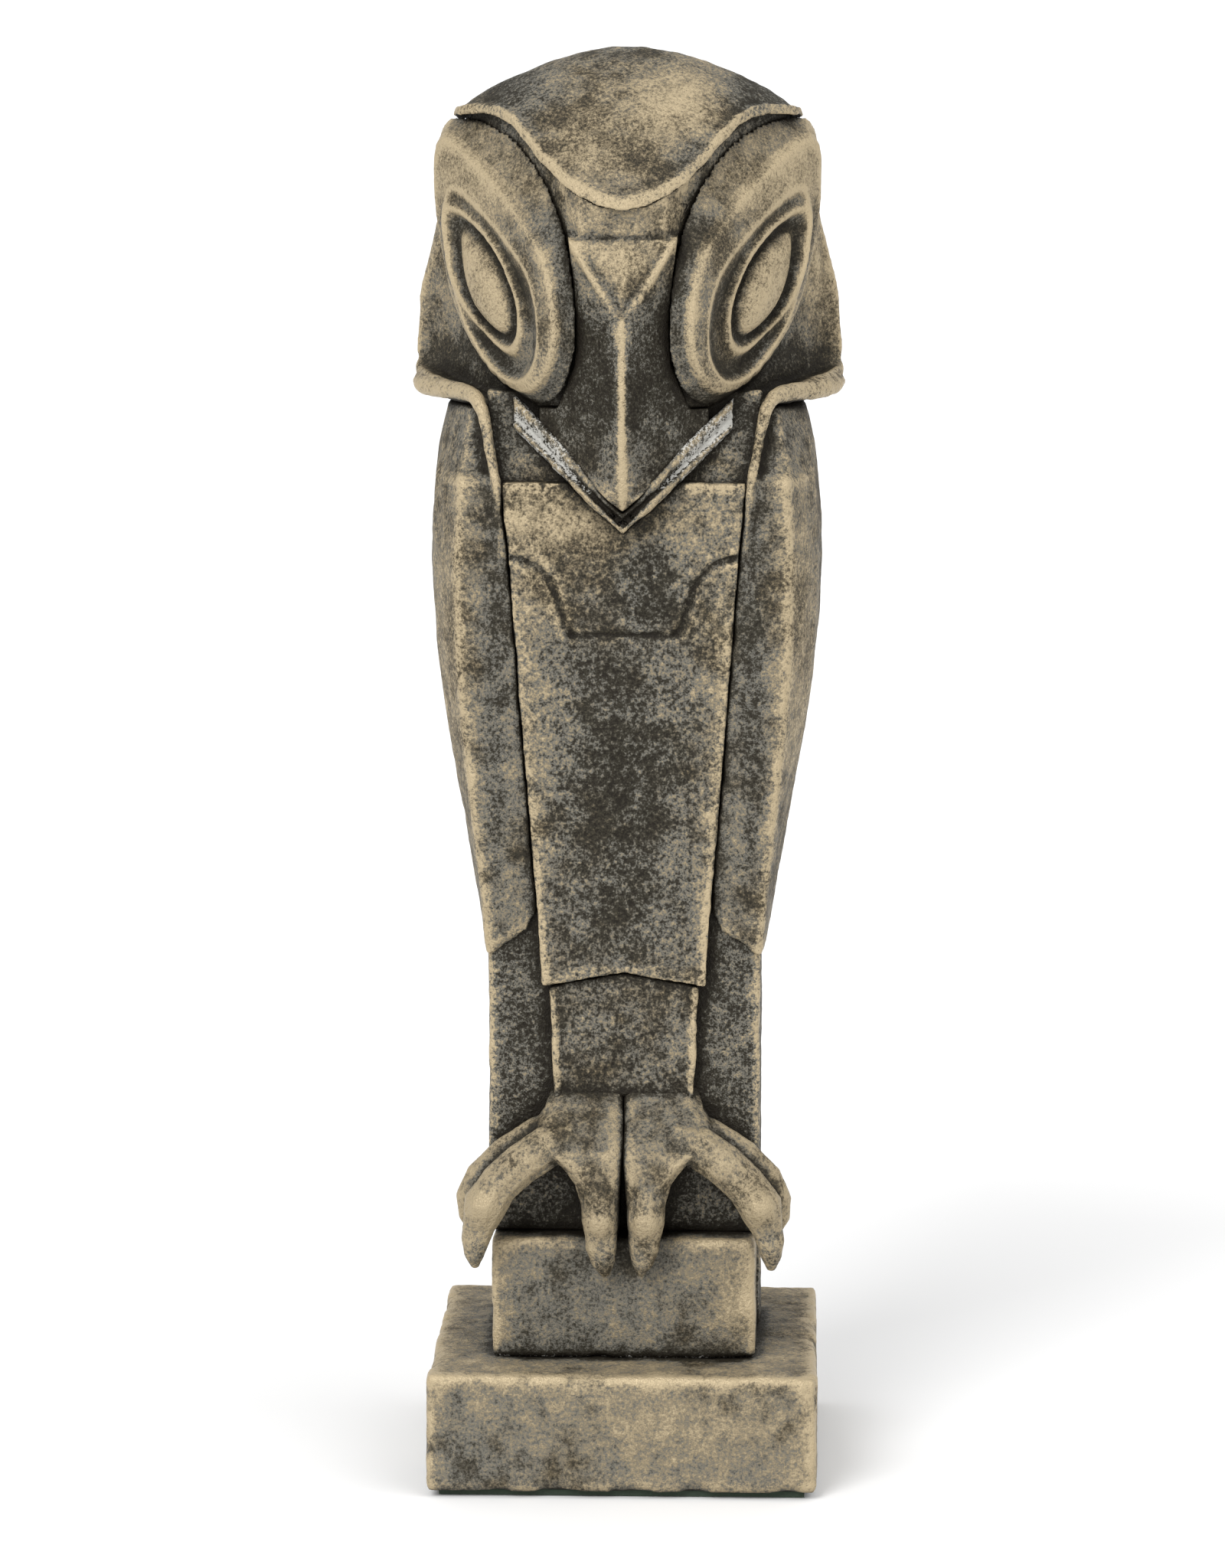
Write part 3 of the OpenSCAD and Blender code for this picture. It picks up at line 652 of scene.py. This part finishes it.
def eye_disc(side, name, seed):
    """Dished disc with its raised rim, almond lid and bulging eyeball, as one relief."""
    across = np.array([side * math.cos(DISC_TURN), math.sin(DISC_TURN), 0.0])
    out = np.array([side * math.sin(DISC_TURN), -math.cos(DISC_TURN), 0.0])
    disc, lid = cad_points("eye_disc_" + name), cad_points("eyelid_" + name)
    top = (disc @ out).max()
    height = disc @ out - top
    depth = height.min()
    in_face = np.abs(height) < 0.02
    rim = disc[in_face]
    centre = ((rim @ across).mean(), rim[:, 2].mean())
    spread_out = np.hypot(disc @ across - centre[0], disc[:, 2] - centre[1])
    rim_turn = np.arctan2(rim[:, 2] - centre[1], rim @ across - centre[0])
    rim_reach = reach_of(rim @ across, rim[:, 2], centre, rim_turn)
    # the face has an inner outline too, and only the outer one is the rim
    rim = rim[spread_out[in_face] > 0.96 * rim_reach]
    mid = (centre[0] - 4, rim[:, 2].min() + 8)
    back = disc[(height < depth + 0.05) & (spread_out > 9)]
    angles = np.linspace(-math.pi, math.pi, 240, endpoint=False)
    reach = reach_of(rim @ across, rim[:, 2], mid, angles)
    reach_back = reach_of(back @ across, back[:, 2], mid, angles)
    crest = lid[lid @ out > (lid @ out).max() - 0.05]
    lid_mid = ((crest @ across).mean(), crest[:, 2].mean())

    def lid_part(u, v):
        """Distance of u, v from the lid's middle, as a part of the lid's radius there."""
        du, dv = u - lid_mid[0], v - lid_mid[1]
        return np.hypot(du, dv) / reach_of(crest @ across, crest[:, 2], lid_mid,
                                           np.arctan2(dv, du))

    def relief(u, v, t):
        """Height over the face at u, v; t is the part of the disc's radius."""
        q = lid_part(u, v)
        step = np.clip((t - DISH_START) / (DISC_CREASE - DISH_START), 0, 1)
        dish = DISH_FLOOR + 2.9 * step ** 1.6
        dish -= np.clip((t - DISC_CREASE) / (1 - DISC_CREASE), 0, 1)
        dish = dish + 1.7 * bell(q, LID_RIDGE, 0.09) * np.clip(1.5 - t, 0, 1)
        ball = BALL_RISE * np.sqrt(np.clip(1 - (q / BALL_EDGE) ** 2, 0, 1)) + DISH_FLOOR
        return np.maximum(dish, ball)

    def ring(r, h):
        """One loop of points at radius r and height h over the face."""
        u, v = mid[0] + r * np.cos(angles), mid[1] + r * np.sin(angles)
        return np.outer(u, across) + np.outer(top + h, out) + np.outer(v, (0, 0, 1))

    # the face from its middle to the rim, the rounded edge, the side, and the flat back
    rings = []
    for t in np.linspace(0.012, 0.985, 110):
        u, v = mid[0] + t * reach * np.cos(angles), mid[1] + t * reach * np.sin(angles)
        rings.append(ring(t * reach, relief(u, v, t)))
    flat = np.ones(len(angles))
    rings += [ring(0.998 * reach, -0.9 * flat), ring(1.006 * reach, -1.4 * flat)]
    for part in np.linspace(0.12, 1, 14):
        rings.append(ring(1.006 * reach + (reach_back - reach) * part,
                          (-1.4 + (depth + 1.4) * part) * flat))
    rings += [ring(t * reach_back, depth * flat) for t in (0.9, 0.5, 0.02)]
    faces = skin(len(rings), len(angles))
    if side > 0:
        faces = [f[::-1] for f in faces]
    obj = remesh(mesh_object("eye_disc_" + name + "_cast", np.vstack(rings), faces), 0.36)
    relax(obj, 5)
    weather(obj, seed, lumps=0.1, grain=0.04, wear=0.2)
    co = points(obj)
    u, v = co @ across, co[:, 2]
    turn_at = np.arctan2(v - mid[1], u - mid[0])
    t = np.hypot(u - mid[0], v - mid[1]) / np.interp(turn_at, angles, reach, period=2 * math.pi)
    q = lid_part(u, v)
    # The ball's middle lighter, its gilt with a painted highlight; a darker ring round the ball; the
    # lid's ridge and the rim's crease lighter; the dish outside the lid darker; the rim lighter
    # towards its top and darker towards its bottom
    tone = 0.6 * bell(q, 0.15, 0.4) - 0.5 * bell(q, 0.72, 0.05) + 0.7 * bell(q, LID_RIDGE, 0.04)
    tone += 1.2 * bell(t, DISC_CREASE, 0.022) - 0.6 * bell(t, 0.58, 0.12) * (q > 1.05)
    tone += np.clip((v - 266) / 8, -0.3, 0.6) * (t > DISC_CREASE)
    # Painted shade: the drum's sides, down in the gap round the disc, are made darker
    store(obj, "tone", tone - 0.5 * (co @ out < top - 2.2) * (t > 0.9))
    return fit_out(obj, "cast_disc", "eye_disc_" + name, "eyelid_" + name, "eyeball_" + name)


# Where each piece is made lighter or darker: x, z, width, height, amount. Most rows are the gold rub
# and the dark coat; the rows noted below also paint highlights and shade. The rows of a wing or a foot
# are those of the right one, and the left one has them mirrored.
TONES = {
    # crown: the middle lighter, gold rub with a painted highlight; the flanks darker, painted shade
    "crown_cap": [(11, 288, 9, 6, 1.1), (28, 290, 9, 7, -1.3), (-24, 291, 10, 6, -1.1),
                  (0, 300, 22, 4, -0.7), (-9, 278, 8, 6, 0.5), (14, 277, 5, 5, -0.6)],
    # bill: the side facets darker, painted shade; the ridge a light line, gold rub with a painted
    # highlight
    "bill_wedge": [(0, 232, 30, 18, -1.4), (0, 226, 0.8, 22, 2.4), (0, 256, 7, 5, 1.0),
                   (0, 268, 26, 6, 0.3)],
    # hood: darker beside the bottom of each eye disc, painted shade; the right flank lighter
    "hood": [(-34, 236, 7, 8, -0.6), (34, 236, 7, 8, -0.6), (42, 250, 5, 12, 0.5),
             (38, 262, 7, 14, 0.4)],
    "torso": [(0, 221, 40, 8, 0.9), (0, 210, 34, 6, 1.6)],
    "throat_ruff": [(0, 206, 6, 5, -0.4)],
    "wing": [(26.6, 165, 3, 42, -0.7), (37, 170, 4, 40, 0.5), (31, 219, 6, 5, -0.5),
             (43, 190, 2.5, 30, -0.6)],
    "breast_panel": [(0, 150, 13, 26, -0.9), (-3, 119, 13, 11, -0.4), (6, 185, 8, 5, -0.7),
                     (-20, 150, 4, 40, 0.4), (20, 150, 4, 40, 0.4), (-6, 204, 20, 6, 1.5),
                     (5, 197, 6, 9, -0.8), (-7, 172, 9, 5, -0.4), (-17, 190, 5, 8, 0.4)],
    "shin_panel": [(0, 92, 13, 14, -0.3), (0, 81, 20, 1.8, -1.3)],
    "foot": [(6, 60, 3, 6, -0.2), (10, 76, 12, 6, -0.2), (29, 61, 4, 4, 0.5),
             (5, 56, 3, 3, 0.5), (31, 49, 4, 6, -0.9), (4, 47, 4, 5, -0.9)],
    "perch_block": [(-9, 40, 17, 14, -0.3), (24, 38, 5, 10, 0.6)],
    "plinth": [(-34, 8, 14, 8, -0.3), (18, 16, 30, 8, 0.4)],
}


def mark(obj):
    """Notes on a piece where it is made lighter or darker, by its rub and by painted highlights and
    shade, and where it holds a pale residue. The eye discs have noted their tone already."""
    co, n = points(obj), normals(obj)
    node = obj.name.replace("_cast", "").replace("_left", "").replace("_right", "")
    side = -1 if "_left" in obj.name else 1
    chalk = np.zeros(len(co))
    if node == "throat_ruff":
        chalk = 0.9 * np.clip((np.abs(co[:, 0]) - 3) / 10, 0, 1)
    if node == "perch_block":
        chalk = 0.9 * bell(co[:, 2], co[:, 2].min(), 1.2)
    store(obj, "chalk", chalk)
    if "tone" in obj.data.attributes:
        return
    tone = np.zeros(len(co))
    for x, z, width, height, amount in TONES.get(node, ()):
        tone += amount * bell(side * co[:, 0], x, width) * bell(co[:, 2], z, height)
    # Painted light from above: the plinth's faces that look up are made lighter
    if node == "plinth":
        tone += 0.25 * np.clip(n[:, 2], 0, 1)
    store(obj, "tone", tone)


def build_owl():
    """Makes every cast piece, then notes the wear on all of them together."""
    cast("plinth", "cast_plinth", voxel=0.8, smooth=4, seed=11, lumps=0.22, wear=0.6)
    cast("perch_block", "cast_plinth", voxel=0.6, smooth=4, seed=12, lumps=0.2, wear=0.5)
    cast("torso", "cast_body", voxel=0.8, smooth=4, seed=13, lumps=0.2, shape=raise_shoulder)
    for side, name in SIDES:
        lappet = tube("lappet", mirrored(LAPPET, side))
        cast("wing_" + name, "cast_wing", voxel=0.55, smooth=10, seed=14 + side, extra=[lappet])
        cast("foot_" + name, "cast_gilt", voxel=0.4, smooth=12, seed=18 + side,
             shape=knuckle_foot)
        eye_disc(side, name, seed=24 + side)
    cast("breast_panel", "cast_panel", voxel=0.42, smooth=4, seed=16, lumps=0.2, grain=0.07,
         shape=carve_bib)
    cast("shin_panel", "cast_panel", voxel=0.4, smooth=6, seed=17, lumps=0.2)
    cast("throat_ruff", "cast_ruff", voxel=0.3, smooth=3, seed=20, lumps=0.25, grain=0.12,
         shape=split_ruff)
    cast("bill_wedge", "cast_head", voxel=0.36, smooth=3, seed=21, extra=[brow()],
         shape=crease_bill)
    rolls = [tube("roll", mirrored(COLLAR_ROLL, side)) for side, _ in SIDES]
    cast("hood", "cast_head", voxel=0.6, smooth=14, seed=22, extra=rolls)
    cast("crown_cap", "cast_head", voxel=0.42, smooth=8, seed=23, shape=raise_lip)
    note_edges(CAST)
    for piece in CAST:
        mark(piece)


def stock_material(name, colour, roughness, metallic, size, stretch=None):
    """Plain material of a bought part: slight colour change along its grain."""
    g = Graph(name)
    lines = g.noise(size, 4.0, 0.6, stretch=stretch)
    g.put(g.mix([c * 0.7 for c in colour], colour, g.ramp(lines, 0.3, 0.7)),
          g.shader.inputs["Base Color"])
    g.put(g.total((0.2, lines), roughness - 0.1), g.shader.inputs["Roughness"])
    g.shader.inputs["Metallic"].default_value = metallic
    g.put(g.bump(lines, 0.05, 0.5), g.shader.inputs["Normal"])
    return g.material


def dress_hidden():
    """Materials of the felt, the hardware and the dowels, which keep their CAD shapes."""
    felt = stock_material("felt", (0.035, 0.055, 0.035), roughness=0.95, metallic=0.0, size=0.6)
    felt.node_tree.nodes["Principled BSDF"].inputs["Sheen Weight"].default_value = 0.3
    steel = stock_material("steel", (0.62, 0.62, 0.63), roughness=0.35, metallic=1.0, size=0.5,
                           stretch=(1, 1, 0.05))
    wood = stock_material("dowel_wood", (0.58, 0.41, 0.24), roughness=0.7, metallic=0.0, size=0.8,
                          stretch=(1, 1, 0.08))
    slots = {row["node"]: row["material_slot"] for row in frame["record"]["subparts"]}
    for node, obj in frame["nodes"].items():
        look = {"felt": felt, "steel": steel, "dowel_wood": wood}.get(slots[node])
        if look:
            obj.data.materials.clear()
            obj.data.materials.append(look)


# ---------------------------------------------------------------- stage
def soft_sun(place, power, softness):
    """Even light from the direction of place; softness is its angular size in degrees."""
    data = bpy.data.lights.new("soft_sun", "SUN")
    data.energy = power
    data.angle = math.radians(softness)
    obj = bpy.data.objects.new("soft_sun", data)
    scene.collection.objects.link(obj)
    obj.location = place
    obj.rotation_euler = Vector(place).to_track_quat("Z", "Y").to_euler()


WHITE = (1, 1, 1, 1)
FLOOR_SIZE = 160                # metres, so that its far edge is out of sight
FLOOR_GAP = 0.0002              # metres below the felt


def build_stage():
    """White floor, a broad key light from the left, a weaker one from the right, a white sky."""
    bpy.ops.mesh.primitive_plane_add(size=FLOOR_SIZE, location=(0, 0, -FLOOR_GAP))
    floor = bpy.context.object
    floor.name = "floor"
    g = Graph("floor_white")
    g.shader.inputs["Base Color"].default_value = (0.95, 0.95, 0.95, 1)
    g.shader.inputs["Roughness"].default_value = 0.9
    floor.data.materials.append(g.material)
    soft_sun((-0.5, -1.0, 0.9), power=1.8, softness=27)
    soft_sun((0.7, -0.5, 1.0), power=0.6, softness=40)
    world = bpy.data.worlds.new("studio")
    scene.world = world
    world.use_nodes = True
    sky = world.node_tree.nodes["Background"]
    sky.inputs["Color"].default_value = WHITE
    sky.inputs["Strength"].default_value = 0.73
    scene.view_settings.view_transform = "Standard"


LENS = 126.3                    # millimetres, on a sensor 36 mm wide
CAMERA_PLACE = (0.0357, -1.153, 0.3167)
CAMERA_YAW, CAMERA_PITCH = math.radians(-1.93), math.radians(-8.48)


def build_camera():
    """Camera in front of the owl, a little above it."""
    data = bpy.data.cameras.new("camera")
    data.lens = LENS
    data.sensor_width = 36.0
    data.clip_end = 200
    camera = bpy.data.objects.new("camera", data)
    scene.collection.objects.link(camera)
    camera.location = CAMERA_PLACE
    flat = math.cos(CAMERA_PITCH)
    look = Vector((math.sin(CAMERA_YAW) * flat, math.cos(CAMERA_YAW) * flat,
                   math.sin(CAMERA_PITCH)))
    camera.rotation_euler = look.to_track_quat("-Z", "Y").to_euler()
    scene.camera = camera


build_owl()
dress_hidden()
build_camera()
build_stage()
